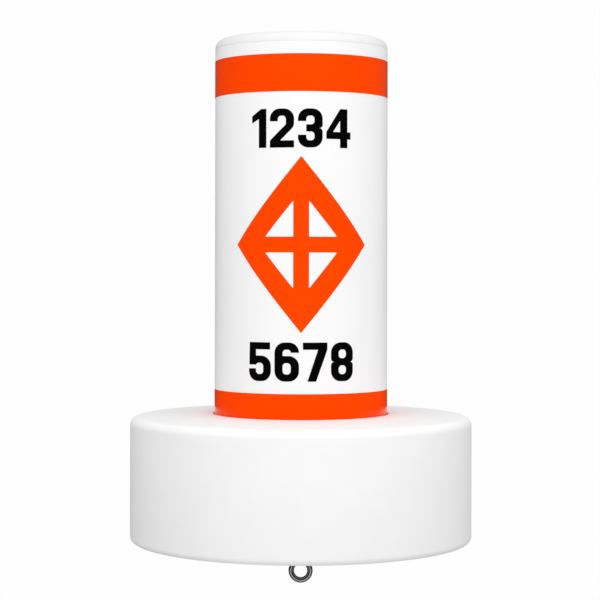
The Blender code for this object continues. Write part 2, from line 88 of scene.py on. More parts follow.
class Wiring:
    def __init__(self, tree):
        self.tree = tree

    def add(self, kind, links=(), **settings):
        node = self.tree.nodes.new(kind)
        for key, value in settings.items():
            setattr(node, key, value)
        for socket, source in dict(links).items():
            target = node.inputs[socket]
            if isinstance(source, bpy.types.NodeSocket):
                self.tree.links.new(source, target)
            else:
                target.default_value = source
        return node

    def math(self, operation, a, b=0.0, clamp=False):
        node = self.add("ShaderNodeMath", {0: a, 1: b}, operation=operation, use_clamp=clamp)
        return node.outputs[0]


# A Geometry Nodes tree with one named input for each size, and its input node.

def newTree(name, sizes):
    tree = bpy.data.node_groups.new(name, "GeometryNodeTree")
    kinds = {float: "NodeSocketFloat", int: "NodeSocketInt"}
    tree.interface.new_socket("Geometry", in_out="INPUT", socket_type="NodeSocketGeometry")
    for label, value in sizes.items():
        socket = tree.interface.new_socket(label, in_out="INPUT", socket_type=kinds[type(value)])
        socket.default_value = value
    tree.interface.new_socket("Finish", in_out="INPUT", socket_type="NodeSocketMaterial")
    tree.interface.new_socket("Geometry", in_out="OUTPUT", socket_type="NodeSocketGeometry")
    wiring = Wiring(tree)
    return tree, wiring, wiring.add("NodeGroupInput")


def closeTree(wiring, source, geometry):
    shaded = wiring.add("GeometryNodeSetShadeSmooth", {"Geometry": geometry, "Shade Smooth": True})
    whole = wiring.add("GeometryNodeRealizeInstances", {"Geometry": shaded.outputs[0]})
    coated = wiring.add("GeometryNodeSetMaterial", {
        "Geometry": whole.outputs[0], "Material": source.outputs["Finish"],
    })
    wiring.add("NodeGroupOutput", {"Geometry": coated.outputs[0]})


# Runs a tree on a mesh; the result is a plain mesh on an object of that name.

def grow(name, mesh, tree, sizes, finish):
    carrier = bpy.data.objects.new(name, mesh)
    bpy.context.scene.collection.objects.link(carrier)
    modifier = carrier.modifiers.new(name, "NODES")
    modifier.node_group = tree
    sockets = {s.name: s.identifier for s in tree.interface.items_tree if s.in_out == "INPUT"}
    for label, value in sizes.items():
        modifier[sockets[label]] = value
    modifier[sockets["Finish"]] = finish
    return plain(carrier)


def plain(thing):
    evaluated = thing.evaluated_get(bpy.context.evaluated_depsgraph_get())
    mesh = bpy.data.meshes.new_from_object(evaluated)
    thing.modifiers.clear()
    thing.data = mesh
    return thing


def takeMesh(thing):
    mesh = thing.data
    bpy.data.objects.remove(thing)
    return mesh


def cutWith(thing, other, operation):
    step = thing.modifiers.new(other.name, "BOOLEAN")
    step.operation, step.solver, step.object = operation, "EXACT", other
    plain(thing)
    bpy.data.objects.remove(other)
    return thing


def islandsOf(shape):
    left, found = set(shape.faces), []
    while left:
        queue, island = [left.pop()], []
        while queue:
            face = queue.pop()
            island.append(face)
            for edge in face.edges:
                for other in edge.link_faces:
                    if other in left:
                        left.remove(other)
                        queue.append(other)
        found.append(island)
    return sorted(found, key=lambda island: -sum(f.calc_area() for f in island))


# Merges doubles, closes holes and points the faces outwards, a hollow's into the hollow.

def tidy(thing, sharpAngle=34.0):
    shape = bmesh.new()
    shape.from_mesh(thing.data)
    bmesh.ops.remove_doubles(shape, verts=shape.verts, dist=mergeDistance)
    bmesh.ops.dissolve_degenerate(shape, edges=shape.edges, dist=hairline)
    rims = [e for e in shape.edges if e.is_boundary]
    if rims:
        bmesh.ops.holes_fill(shape, edges=rims, sides=0)
    bmesh.ops.recalc_face_normals(shape, faces=shape.faces)
    for hollow in islandsOf(shape)[1:]:
        bmesh.ops.reverse_faces(shape, faces=hollow)
    shape.to_mesh(thing.data)
    shape.free()
    thing.data.shade_smooth()
    thing.data.set_sharp_from_angle(angle=math.radians(sharpAngle))
    return thing


# Gives a finished piece its one material and hands it to the frame in its node's place.

def place(piece, node, slot, finish):
    piece.data.materials.clear()
    piece.data.materials.append(finishes[finish])
    piece.data.polygons.foreach_set("material_index", [0] * len(piece.data.polygons))
    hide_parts(node)
    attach(piece, "root")
    return piece


# Materials. Every one reads Object coordinates.

def newMaterial(name):
    material = bpy.data.materials.new(name)
    material.use_nodes = True
    shader = material.node_tree.nodes["Principled BSDF"]
    return material, Wiring(material.node_tree), shader


# Noise whose grains are about that long, in metres, or longer along a stretched axis.

def noiseOn(wiring, size, detail=2.0, stretch=(1.0, 1.0, 1.0), roughness=0.5):
    where = wiring.add("ShaderNodeTexCoord").outputs["Object"]
    mapping = wiring.add("ShaderNodeMapping", {"Vector": where, "Scale": stretch})
    return wiring.add("ShaderNodeTexNoise", {
        "Vector": mapping.outputs[0], "Scale": 1.0 / size, "Detail": detail, "Roughness": roughness,
    }).outputs[0]


def spread(wiring, value, low, high):
    return wiring.add("ShaderNodeMapRange", {
        "Value": value, "From Min": 0.3, "From Max": 0.7, "To Min": low, "To Max": high,
    }).outputs[0]


def blend(wiring, amount, first, second):
    node = wiring.add("ShaderNodeMix", data_type="RGBA")
    wiring.tree.links.new(amount, node.inputs["Factor"])
    node.inputs[6].default_value = (*first, 1.0)
    node.inputs[7].default_value = (*second, 1.0)
    return node.outputs[2]


# Stacks bumps, each a height, a strength and a depth in metres.

def bumpBy(wiring, shader, layers):
    normal = None
    for height, strength, depth in layers:
        node = wiring.add("ShaderNodeBump", {
            "Height": height, "Strength": strength, "Distance": depth,
        })
        if normal is not None:
            wiring.tree.links.new(normal, node.inputs["Normal"])
        normal = node.outputs[0]
    wiring.tree.links.new(normal, shader.inputs["Normal"])


# Gives the shader a tint and a roughness that changes over the surface.

def coat(wiring, shader, tint, roughness):
    wiring.tree.links.new(tint, shader.inputs["Base Color"])
    wiring.tree.links.new(roughness, shader.inputs["Roughness"])


# In every look a grain's size is in metres, a roughness is its least and most, and a bump is
# its strength and its depth in metres.

drawnLook = {
    "columnWhite": (0.848, 0.848, 0.848),
    "columnShade": (0.832, 0.832, 0.834),
    "capWhite": (0.812, 0.812, 0.812),
    "capShade": (0.800, 0.800, 0.802),
    # painted shade at the top of the cap: its grey, where it starts below the top, and where it is
    # whole
    "capPaintedShade": (0.740, 0.740, 0.742),
    "paintedShadeFrom": 0.012,       # below the cap's top
    "paintedShadeFull": 0.003,
    "cloud": 0.12,
    "streak": 0.0022,
    "streakStretch": (1.0, 1.0, 0.012),
    "grain": 0.0011,
    "roughness": (0.30, 0.37),
    "gloss": 0.05,
    "streakBump": (0.10, 0.00006),
    "grainBump": (0.12, 0.00003),
}


# Painted shade: greys a tint towards the top of the cap.

def paintTopShade(wiring, tint, look):
    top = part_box("top_cap")[1].z
    place = wiring.add("ShaderNodeTexCoord").outputs["Object"]
    where = wiring.add("ShaderNodeSeparateXYZ", {0: place})
    share = wiring.add("ShaderNodeMapRange", {
        "Value": where.outputs["Z"], "From Min": top - look["paintedShadeFrom"],
        "From Max": top - look["paintedShadeFull"],
    })
    node = wiring.add("ShaderNodeMix", data_type="RGBA")
    wiring.tree.links.new(share.outputs[0], node.inputs["Factor"])
    wiring.tree.links.new(tint, node.inputs[6])
    node.inputs[7].default_value = (*look["capPaintedShade"], 1.0)
    return node.outputs[2]


# Drawn white plastic: smooth, and faintly streaked along its length.

def drawnPlastic(name, look, light, dark, paintedTopShade=False):
    material, w, shader = newMaterial(name)
    cloud = noiseOn(w, look["cloud"], 2.0)
    streak = noiseOn(w, look["streak"], 1.0, look["streakStretch"])
    grain = noiseOn(w, look["grain"], 2.0)
    tint = blend(w, spread(w, cloud, 0.0, 1.0), look[light], look[dark])
    # painted shade, darker towards the top of the cap
    if paintedTopShade:
        tint = paintTopShade(w, tint, look)
    coat(w, shader, tint, spread(w, cloud, *look["roughness"]))
    shader.inputs["Specular IOR Level"].default_value = look["gloss"]
    bumpBy(w, shader, [(streak, *look["streakBump"]), (grain, *look["grainBump"])])
    return material


mouldedLook = {
    "collarWhite": (0.845, 0.845, 0.845),
    "collarShade": (0.823, 0.824, 0.826),
    "plugGrey": (0.52, 0.525, 0.53),
    "plugShade": (0.47, 0.475, 0.48),
    "cloud": 0.055,
    "peel": 0.0032,
    "grain": 0.0008,
    "roughness": (0.58, 0.66),
    "gloss": 0.32,
    "peelBump": (0.16, 0.00012),
    "grainBump": (0.12, 0.00003),
}


# Moulded plastic: a fine orange-peel skin over slow changes of tone.

def mouldedPlastic(name, look, light, dark):
    material, w, shader = newMaterial(name)
    cloud = noiseOn(w, look["cloud"], 4.0)
    peel = noiseOn(w, look["peel"], 2.0)
    grain = noiseOn(w, look["grain"], 2.0)
    tint = blend(w, spread(w, cloud, 0.0, 1.0), look[light], look[dark])
    coat(w, shader, tint, spread(w, cloud, *look["roughness"]))
    shader.inputs["Specular IOR Level"].default_value = look["gloss"]
    bumpBy(w, shader, [(peel, *look["peelBump"]), (grain, *look["grainBump"])])
    return material


filmLook = {
    "orange": (0.985, 0.059, 0.0003),
    "orangeDeep": (0.965, 0.053, 0.0003),
    "orangeGloss": (1.0, 0.7, 0.05),
    "orangeRoughness": (0.11, 0.19),
    "black": (0.0010, 0.0010, 0.0011),
    "blackDeep": (0.0022, 0.0022, 0.0023),
    "blackGloss": (0.3, 0.3, 0.3),
    "blackRoughness": (0.15, 0.23),
    "gloss": 0.12,
    "cloud": 0.04,
    "wave": 0.012,
    "grain": 0.0007,
    "waveBump": (0.08, 0.00008),
    "grainBump": (0.10, 0.00002),
}


# Glossy film: an even colour, with the slight waviness of a sheet laid by hand.

def cutFilm(name, look, colour):
    material, w, shader = newMaterial(name)
    cloud = noiseOn(w, look["cloud"], 3.0)
    wave = noiseOn(w, look["wave"], 1.0)
    grain = noiseOn(w, look["grain"], 2.0)
    tint = blend(w, spread(w, cloud, 0.0, 1.0), look[colour], look[colour + "Deep"])
    coat(w, shader, tint, spread(w, cloud, *look[colour + "Roughness"]))
    shader.inputs["Specular IOR Level"].default_value = look["gloss"]
    shader.inputs["Specular Tint"].default_value = (*look[colour + "Gloss"], 1.0)
    bumpBy(w, shader, [(wave, *look["waveBump"]), (grain, *look["grainBump"])])
    return material


steelLook = {
    "polished": (0.24, 0.24, 0.245),
    "polishedDeep": (0.15, 0.15, 0.155),
    "polishedRoughness": (0.13, 0.26),
    "zinc": (0.56, 0.57, 0.59),
    "zincDeep": (0.42, 0.43, 0.45),
    "zincRoughness": (0.29, 0.42),
    "patch": 0.006,
    "scratch": 0.0005,
    "scratchStretch": (1.0, 1.0, 0.15),
    "scratchBump": (0.10, 0.00002),
    "patchBump": (0.10, 0.00005),
}


# Steel with fine scratches and darker patches of oxide.

def bareSteel(name, look, colour):
    material, w, shader = newMaterial(name)
    patch = noiseOn(w, look["patch"], 4.0, roughness=0.6)
    scratch = noiseOn(w, look["scratch"], 3.0, look["scratchStretch"])
    tint = blend(w, spread(w, patch, 0.0, 1.0), look[colour], look[colour + "Deep"])
    coat(w, shader, tint, spread(w, scratch, *look[colour + "Roughness"]))
    shader.inputs["Metallic"].default_value = 1.0
    bumpBy(w, shader, [(scratch, *look["scratchBump"]), (patch, *look["patchBump"])])
    return material


paintedReflectionLook = {
    "innerRadius": 0.0087,
    "outerRadius": 0.0162,
    # painted reflections: each stop sets how light or dark a ring across the bar is painted
    "stops": [               # place across the bar, and how light the steel is there
        (0.00, 0.015), (0.10, 0.02), (0.20, 0.25), (0.30, 0.15), (0.39, 0.02),
        (0.47, 0.02), (0.57, 0.72), (0.66, 0.40), (0.76, 0.10), (1.00, 0.06),
    ],
    "warmth": 0.99,          # share of blue in the grey
    "scratch": 0.0005,
    "scratchStretch": (1.0, 1.0, 0.3),
    "roughness": (0.16, 0.26),
    "scratchBump": (0.10, 0.00002),
}


# Steel of the eye, with painted reflections: light and dark rings round its hole, painted darker
# towards the hole.

def paintedReflectionSteel(look):
    material, w, shader = newMaterial("paintedReflectionSteel")
    where = w.add("ShaderNodeTexCoord").outputs["Object"]
    flat = w.add("ShaderNodeVectorMath", {0: where, 1: (1.0, 0.0, 1.0)}, operation="MULTIPLY")
    radius = w.add("ShaderNodeVectorMath", {0: flat.outputs[0]}, operation="LENGTH")
    across = w.add("ShaderNodeMapRange", {
        "Value": radius.outputs["Value"],
        "From Min": look["innerRadius"], "From Max": look["outerRadius"],
    })
    # painted reflections and painted shade, as rings of tone across the bar
    rings = w.add("ShaderNodeValToRGB", {0: across.outputs[0]})
    ramp = rings.color_ramp
    for place, light in look["stops"][1:-1]:
        ramp.elements.new(place)
    for element, (place, light) in zip(ramp.elements, look["stops"]):
        element.position, element.color = place, (light, light, light * look["warmth"], 1.0)
    scratch = noiseOn(w, look["scratch"], 3.0, look["scratchStretch"])
    coat(w, shader, rings.outputs[0], spread(w, scratch, *look["roughness"]))
    shader.inputs["Metallic"].default_value = 1.0
    bumpBy(w, shader, [(scratch, *look["scratchBump"])])
    return material


fillingLook = {
    "foam": (0.80, 0.70, 0.46),
    "foamShade": (0.66, 0.55, 0.32),
    "foamCloud": 0.03,
    "foamCells": 700.0,      # cells to the metre
    "foamRoughness": 0.92,
    "foamBump": (0.6, 0.0006),
    "concrete": (0.40, 0.39, 0.37),
    "concreteShade": (0.27, 0.26, 0.245),
    "concreteCloud": 0.02,
    "concreteGrit": 0.0015,
    "concreteRoughness": 0.9,
    "concreteBump": (0.5, 0.0005),
}


def pouredFoam(look):
    material, w, shader = newMaterial("pouredFoam")
    cloud = noiseOn(w, look["foamCloud"], 4.0)
    cells = w.add("ShaderNodeTexVoronoi", {
        "Vector": w.add("ShaderNodeTexCoord").outputs["Object"], "Scale": look["foamCells"],
    }).outputs[0]
    tint = blend(w, spread(w, cloud, 0.0, 1.0), look["foam"], look["foamShade"])
    w.tree.links.new(tint, shader.inputs["Base Color"])
    shader.inputs["Roughness"].default_value = look["foamRoughness"]
    bumpBy(w, shader, [(cells, *look["foamBump"])])
    return material


def castConcrete(look):
    material, w, shader = newMaterial("castConcrete")
    cloud = noiseOn(w, look["concreteCloud"], 5.0, roughness=0.65)
    grit = noiseOn(w, look["concreteGrit"], 4.0)
    tint = blend(w, spread(w, cloud, 0.0, 1.0), look["concrete"], look["concreteShade"])
    w.tree.links.new(tint, shader.inputs["Base Color"])
    shader.inputs["Roughness"].default_value = look["concreteRoughness"]
    bumpBy(w, shader, [(grit, *look["concreteBump"])])
    return material


finishes = {
    "column": drawnPlastic("columnPlastic", drawnLook, "columnWhite", "columnShade"),
    # the cap's colour carries painted shade towards its top
    "cap": drawnPlastic("capPlastic", drawnLook, "capWhite", "capShade", paintedTopShade=True),
    "collar": mouldedPlastic("collarPlastic", mouldedLook, "collarWhite", "collarShade"),
    "plug": mouldedPlastic("plugPlastic", mouldedLook, "plugGrey", "plugShade"),
    "orange": cutFilm("orangeFilm", filmLook, "orange"),
    "black": cutFilm("blackFilm", filmLook, "black"),
    "steel": bareSteel("polishedSteel", steelLook, "polished"),
    # the eye's steel carries painted reflections in rings
    "eye": paintedReflectionSteel(paintedReflectionLook),
    "zinc": bareSteel("zincSteel", steelLook, "zinc"),
    "foam": pouredFoam(fillingLook),
    "concrete": castConcrete(fillingLook),
}
print("materials made:", len(finishes))


# Turned pieces: a section with rounded corners, swept round an upright axis.

def makeTurnTree():
    tree, w, source = newTree("turnSection", {
        "Sides": 256, "Corner Steps": 6, "Guide Radius": 0.05,
    })
    where = w.add("ShaderNodeSeparateXYZ", {0: w.add("GeometryNodeInputPosition").outputs[0]})
    flat = w.add("ShaderNodeCombineXYZ", {
        "X": w.math("SUBTRACT", where.outputs["X"], source.outputs["Guide Radius"]),
        "Y": w.math("MULTIPLY", where.outputs["Z"], -1.0),
    })
    laid = w.add("GeometryNodeSetPosition", {
        "Geometry": source.outputs["Geometry"], "Position": flat.outputs[0],
    })
    circle = w.add("GeometryNodeCurvePrimitiveCircle", {
        "Resolution": source.outputs["Sides"], "Radius": source.outputs["Guide Radius"],
    }, mode="RADIUS")
    upright = w.add("GeometryNodeSetCurveNormal", {"Curve": circle.outputs["Curve"]}, mode="Z_UP")
    swept = w.add("GeometryNodeCurveToMesh", {
        "Curve": upright.outputs[0], "Profile Curve": roundCorners(w, source, laid.outputs[0]),
    })
    merged = w.add("GeometryNodeMergeByDistance", {
        "Geometry": swept.outputs[0], "Distance": mergeDistance,
    })
    closeTree(w, source, merged.outputs[0])
    return tree


def roundCorners(wiring, source, mesh):
    outline = wiring.add("GeometryNodeMeshToCurve", {"Mesh": mesh})
    radius = wiring.add("GeometryNodeInputNamedAttribute", {"Name": "cornerRadius"}, data_type="FLOAT")
    return wiring.add("GeometryNodeFilletCurve", {
        "Curve": outline.outputs[0], "Count": source.outputs["Corner Steps"],
        "Radius": radius.outputs[0], "Limit Radius": True,
    }, mode="POLY").outputs[0]


# Edges through the corners of each loop, a corner being (across, up, radius of its rounding).
# A loop that starts on the axis of a turned piece ends there too and stays open.

def outlineMesh(name, loops, openOnAxis=False):
    mesh = bpy.data.meshes.new(name)
    points, links, radii = [], [], []
    for corners in loops:
        first = len(points)
        points += [(x, 0.0, z) for x, z, r in corners]
        radii += [r for x, z, r in corners]
        links += [(first + i, first + i + 1) for i in range(len(corners) - 1)]
        if not (openOnAxis and corners[0][0] == 0):
            links.append((len(points) - 1, first))
    mesh.from_pydata(points, links, [])
    attribute = mesh.attributes.new("cornerRadius", "FLOAT", "POINT")
    attribute.data.foreach_set("value", radii)
    return mesh


turnTree = makeTurnTree()


def turn(name, loops, finish, sides=256, cornerSteps=6, centre=(0.0, 0.0, 0.0)):
    mesh = outlineMesh(name, loops, openOnAxis=True)
    sizes = {"Sides": sides, "Corner Steps": cornerSteps}
    thing = tidy(grow(name, mesh, turnTree, sizes, finishes[finish]))
    thing.data.transform(Matrix.Translation(centre))
    return thing


columnSizes = {
    "wall": 0.004,
    "rimRound": 0.0003,      # broken edge at the seam under the cap
    "footRound": 0.0008,
    "seamGap": 0.0001,
}

capSizes = {
    "edgeRound": 0.0122,
    "wall": 0.004,
    "spigotWall": 0.0035,
    "spigotGap": 0.0003,
    "cornerSteps": 14,
    "shownHeight": 0.0129,   # above the seam
    "seamRound": 0.0003,
    "hollowRound": 0.0008,
}


def makeColumn(s, cap):
    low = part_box("column_tube")[0].z
    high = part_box("top_cap")[1].z - cap["shownHeight"] - s["seamGap"]
    bore = columnRadius - s["wall"]
    wall = turn("columnWall", [[
        (bore, high, s["rimRound"]), (columnRadius, high, s["rimRound"]),
        (columnRadius, low, s["footRound"]), (bore, low, s["footRound"]),
    ]], "column")
    place(wall, "column_tube", "white_column_plastic", "column")


def makeCap(s):
    low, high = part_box("top_cap")
    seam = high.z - s["shownHeight"]
    spigot = columnRadius - columnSizes["wall"] - s["spigotGap"]
    hollow = spigot - s["spigotWall"]
    ceiling = high.z - s["wall"]
    cap = turn("roundedCap", [[
        (0.0, high.z, 0.0), (columnRadius, high.z, s["edgeRound"]),
        (columnRadius, seam, s["seamRound"]), (spigot, seam, 0.0),
        (spigot, low.z, s["seamRound"]), (hollow, low.z, s["seamRound"]),
        (hollow, ceiling, s["hollowRound"]), (0.0, ceiling, 0.0),
    ]], "cap", cornerSteps=s["cornerSteps"])
    place(cap, "top_cap", "white_column_plastic", "cap")


makeColumn(columnSizes, capSizes)
makeCap(capSizes)
print("column and cap made")


collarSizes = {
    "rimHeight": 0.1645,     # of the top, at its rounded outer edge
    "crown": 0.0035,         # how much higher the top is beside the column
    "topRound": 0.0115,
    "footRound": 0.008,
    "wall": 0.006,
    "wellGap": 0.0017,
    "lipRound": 0.0012,
    "wellFloor": 0.008,
    "floorRound": 0.001,
    "recessRadius": 0.022,
    "recessDepth": 0.0025,
    "boltHole": 0.0045,
    "edgeBreak": 0.0005,
    "topRings": 6,           # rings of the crowned top
    "crownFall": 1.3,        # power with which the crown falls away outwards
    "sides": 320,
    "cornerSteps": 12,
    "portSides": 96,
    "portRadius": 0.014,
    "portSeatRadius": 0.0185,
    "portSeatDepth": 0.0028,
}


def makeCollar(s):
    low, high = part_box("collar_shell")
    radius, foot = high.x, low.z
    well = columnRadius + s["wellGap"]
    rim = foot + s["rimHeight"]
    flatEnd = radius - s["topRound"]
    floor, seat, small = foot + s["wellFloor"], foot + s["recessDepth"], s["edgeBreak"]
    skin = [(well, rim + s["crown"], s["lipRound"])]
    for i in range(1, s["topRings"]):
        share = i / s["topRings"]
        height = rim + s["crown"] * (1 - share ** s["crownFall"])
        skin.append((well + (flatEnd - well) * share, height, 0.0))
    skin += [
        (flatEnd, rim, 0.0), (radius, rim, s["topRound"]), (radius, foot, s["footRound"]),
        (s["recessRadius"], foot, small), (s["recessRadius"], seat, small),
        (s["boltHole"], seat, small / 2), (s["boltHole"], floor, small / 2),
        (well, floor, s["floorRound"]),
    ]
    wall = s["wall"]
    hollow = [
        (well + wall, rim + s["crown"] - wall, 0.0), (flatEnd, rim - wall, 0.0),
        (radius - wall, rim - wall, s["topRound"] - wall),
        (radius - wall, foot + wall, s["footRound"] - wall), (well + wall, foot + wall, 0.0),
    ]
    collar = turn(
        "floatCollar", [skin, hollow], "collar", sides=s["sides"], cornerSteps=s["cornerSteps"]
    )
    for node in ("fill_plug", "vent_plug"):
        centre = (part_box(node)[0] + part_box(node)[1]) / 2
        port = turn(node + "Port", [[
            (0.0, wall * 1.5, 0.0), (s["portRadius"], wall * 1.5, 0.0),
            (s["portRadius"], s["portSeatDepth"], 0.0),
            (s["portSeatRadius"], s["portSeatDepth"], 0.0),
            (s["portSeatRadius"], -wall, 0.0), (0.0, -wall, 0.0),
        ]], "collar", sides=s["portSides"], centre=(centre.x, centre.y, foot))
        cutWith(collar, port, "DIFFERENCE")
    place(tidy(collar), "collar_shell", "white_collar_plastic", "collar")


plugSizes = {
    "headRadius": 0.0182,
    "bodyRadius": 0.0137,
    "headDepth": 0.0025,
    "headRound": 0.0003,
    "edgeRound": 0.0005,
    "sides": 96,
    "slotLength": 0.020,
    "slotWidth": 0.0025,
    "slotDepth": 0.0012,
    "slotRound": 0.0011,
}


def makePlugs(s):
    for node in ("fill_plug", "vent_plug"):
        low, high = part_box(node)
        centre = ((low.x + high.x) / 2, (low.y + high.y) / 2, low.z)
        height = high.z - low.z
        plug = turn(node.replace("_p", "P"), [[
            (0.0, height, 0.0), (s["bodyRadius"], height, s["edgeRound"]),
            (s["bodyRadius"], s["headDepth"], 0.0), (s["headRadius"], s["headDepth"], s["headRound"]),
            (s["headRadius"], 0.0, s["edgeRound"]), (0.0, 0.0, 0.0),
        ]], "plug", sides=s["sides"], centre=centre)
        shape = bmesh.new()
        bmesh.ops.create_cube(shape, size=1.0)
        size = (s["slotLength"], s["slotWidth"], s["slotDepth"] * 2)
        bmesh.ops.scale(shape, vec=Vector(size), verts=shape.verts)
        upright = [e for e in shape.edges if abs((e.verts[0].co - e.verts[1].co).z) > hairline]
        bmesh.ops.bevel(shape, geom=upright, offset=s["slotRound"], segments=5, affect="EDGES")
        bmesh.ops.translate(shape, vec=centre, verts=shape.verts)
        slotMesh = bpy.data.meshes.new("plugSlot")
        shape.to_mesh(slotMesh)
        shape.free()
        slot = bpy.data.objects.new("plugSlot", slotMesh)
        bpy.context.scene.collection.objects.link(slot)
        place(tidy(cutWith(plug, slot, "DIFFERENCE")), node, "grey_plug_plastic", "plug")


makeCollar(collarSizes)
makePlugs(plugSizes)
print("collar and its plugs made")


# Films: a flat outline is filled, cut into narrow strips, and then laid round the column.

def makeFillTree():
    tree, w, source = newTree("fillOutline", {"Corner Steps": 8})
    where = w.add("ShaderNodeSeparateXYZ", {0: w.add("GeometryNodeInputPosition").outputs[0]})
    flat = w.add("ShaderNodeCombineXYZ", {"X": where.outputs["X"], "Y": where.outputs["Z"]})
    laid = w.add("GeometryNodeSetPosition", {
        "Geometry": source.outputs["Geometry"], "Position": flat.outputs[0],
    })
    filled = w.add("GeometryNodeFillCurve", {
        "Curve": roundCorners(w, source, laid.outputs[0]),
    }, mode="NGONS")
    closeTree(w, source, filled.outputs[0])
    return tree


# Past the lap's start the film rises by its own thickness, to lie over its beginning.

def makeWrapTree():
    tree, w, source = newTree("wrapFilm", {
        "Column Radius": 0.1, "Lift": 0.00002, "Thickness": 0.0002, "Foot": 0.0,
        "Lap Start": 9.0, "Lap Ramp": 0.003,
    })
    size = source.outputs
    raised = w.add("GeometryNodeExtrudeMesh", {
        "Mesh": size["Geometry"], "Offset": (0.0, 0.0, 1.0), "Offset Scale": size["Thickness"],
        "Individual": False,
    }, mode="FACES")
    under = w.add("GeometryNodeFlipFaces", {"Mesh": size["Geometry"]})
    joined = w.add("GeometryNodeJoinGeometry")
    for part in (raised, under):
        w.tree.links.new(part.outputs[0], joined.inputs[0])
    closed = w.add("GeometryNodeMergeByDistance", {
        "Geometry": joined.outputs[0], "Distance": mergeDistance,
    })
    where = w.add("ShaderNodeSeparateXYZ", {0: w.add("GeometryNodeInputPosition").outputs[0]})
    angle = w.math("DIVIDE", where.outputs["X"], size["Column Radius"])
    rampStart = w.math("SUBTRACT", size["Lap Start"], size["Lap Ramp"])
    past = w.math("SUBTRACT", where.outputs["X"], rampStart)
    share = w.math("DIVIDE", past, size["Lap Ramp"], clamp=True)
    rise = w.math("MULTIPLY", share, w.math("ADD", size["Thickness"], size["Lift"]))
    base = w.math("ADD", size["Column Radius"], w.math("ADD", size["Lift"], where.outputs["Z"]))
    radius = w.math("ADD", base, rise)
    back = w.math("MULTIPLY", w.math("MULTIPLY", radius, w.math("COSINE", angle)), -1.0)
    bent = w.add("ShaderNodeCombineXYZ", {
        "X": w.math("MULTIPLY", radius, w.math("SINE", angle)), "Y": back,
        "Z": w.math("ADD", where.outputs["Y"], size["Foot"]),
    })
    laid = w.add("GeometryNodeSetPosition", {
        "Geometry": closed.outputs[0], "Position": bent.outputs[0],
    })
    closeTree(w, source, laid.outputs[0])
    return tree


fillTree = makeFillTree()
wrapTree = makeWrapTree()

filmSizes = {
    "lift": 0.00003,         # adhesive under the film
    "thickness": 0.00022,
    "strip": 0.0016,         # width of the strips that the film bends in
    "bandHeight": 0.048,
    "lap": 0.014,            # how far a band's end lies over its start, at the back
    "lapRamp": 0.003,
    "cornerRound": 0.0006,
    "fineMerge": 1e-6,       # corners closer than this are one, before the strips are cut
    "noLap": 9.0,            # a lap that starts past any film's end
}


def foldLines(shape, strip):
    first = math.floor(min(v.co.x for v in shape.verts) / strip) + 1
    last = math.ceil(max(v.co.x for v in shape.verts) / strip)
    for i in range(first, last):
        edge = (i - 1.5) * strip             # faces left of this are cut already
        near = [f for f in shape.faces if any(v.co.x > edge for v in f.verts)]
        geometry = {*near, *(e for f in near for e in f.edges), *(v for f in near for v in f.verts)}
        bmesh.ops.bisect_plane(
            shape, geom=list(geometry), dist=hairline, plane_co=(i * strip, 0.0, 0.0),
            plane_no=(1.0, 0.0, 0.0),
        )


def layFilm(name, loops, foot, finish, cornerSteps=8, lapStart=filmSizes["noLap"]):
    outline = outlineMesh(name, loops)
    flat = grow(name, outline, fillTree, {"Corner Steps": cornerSteps}, finishes[finish])
    mesh = takeMesh(flat)
    shape = bmesh.new()
    shape.from_mesh(mesh)
    bmesh.ops.remove_doubles(shape, verts=shape.verts, dist=filmSizes["fineMerge"])
    for face in shape.faces:
        if face.normal.z < 0:
            face.normal_flip()
    foldLines(shape, filmSizes["strip"])
    shape.to_mesh(mesh)
    shape.free()
    return tidy(grow(name, mesh, wrapTree, {
        "Column Radius": columnRadius, "Lift": filmSizes["lift"],
        "Thickness": filmSizes["thickness"], "Foot": foot,
        "Lap Start": lapStart, "Lap Ramp": filmSizes["lapRamp"],
    }, finishes[finish]))


def makeBands(s):
    half = math.pi * columnRadius            # a band starts and laps at the back
    end, top, r = half + s["lap"], s["bandHeight"], s["cornerRound"]
    for name, node in (("upperWrap", "upper_band"), ("lowerWrap", "lower_band")):
        loop = [(-half, 0.0, r), (end, 0.0, r), (end, top, r), (-half, top, r)]
        band = layFilm(name, [loop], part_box(node)[0].z, "orange", 3, lapStart=half)
        place(band, node, "orange_film", "orange")


diamondSizes = {
    "halfHeight": 0.1123,
    "halfWidth": 0.0909,
    "border": 0.0277,        # square to the edge
    "bar": 0.020,
    "tipRound": 0.0008,
    "windowRound": 0.0006,
}


def makeDiamond(s):
    low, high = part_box("diamond_mark")
    slope = s["halfHeight"] / s["halfWidth"]
    inner = s["halfHeight"] - s["border"] * math.hypot(1.0, slope)
    bar, tip, r = s["bar"] / 2, s["tipRound"], s["windowRound"]
    loops = [[
        (0.0, s["halfHeight"], tip), (s["halfWidth"], 0.0, tip),
        (0.0, -s["halfHeight"], tip), (-s["halfWidth"], 0.0, tip),
    ]]
    for side in (-1, 1):
        for up in (-1, 1):
            loops.append([
                (side * bar, up * bar, r), (side * bar, up * (inner - bar * slope), r),
                (side * (inner - bar) / slope, up * bar, r),
            ])
    mark = layFilm("crossedDiamond", loops, (low.z + high.z) / 2, "orange", 5)
    place(mark, "diamond_mark", "orange_film", "orange")


makeBands(filmSizes)
makeDiamond(diamondSizes)
print("bands and diamond laid")


numberSizes = {
    "height": 0.0495,
    "width": 0.0315,
    "oneWidth": 0.0205,
    "fourWidth": 0.034,
    "space": 0.005,
    "stem": 0.0105,          # upright strokes
    "beam": 0.009,           # level strokes
    "bowl": 0.013,           # outer corner of a round stroke
    "inner": 0.0043,         # inner corner
    "waistRound": 0.0042,
    "waistNotch": 0.005,
    "waistGap": 0.001,
    "arm": 0.016,            # how far an open stroke turns back
    "cutCorner": 0.0003,
}


# Plain block numbers. Each is its width and its loops of corners, the first loop its edge.

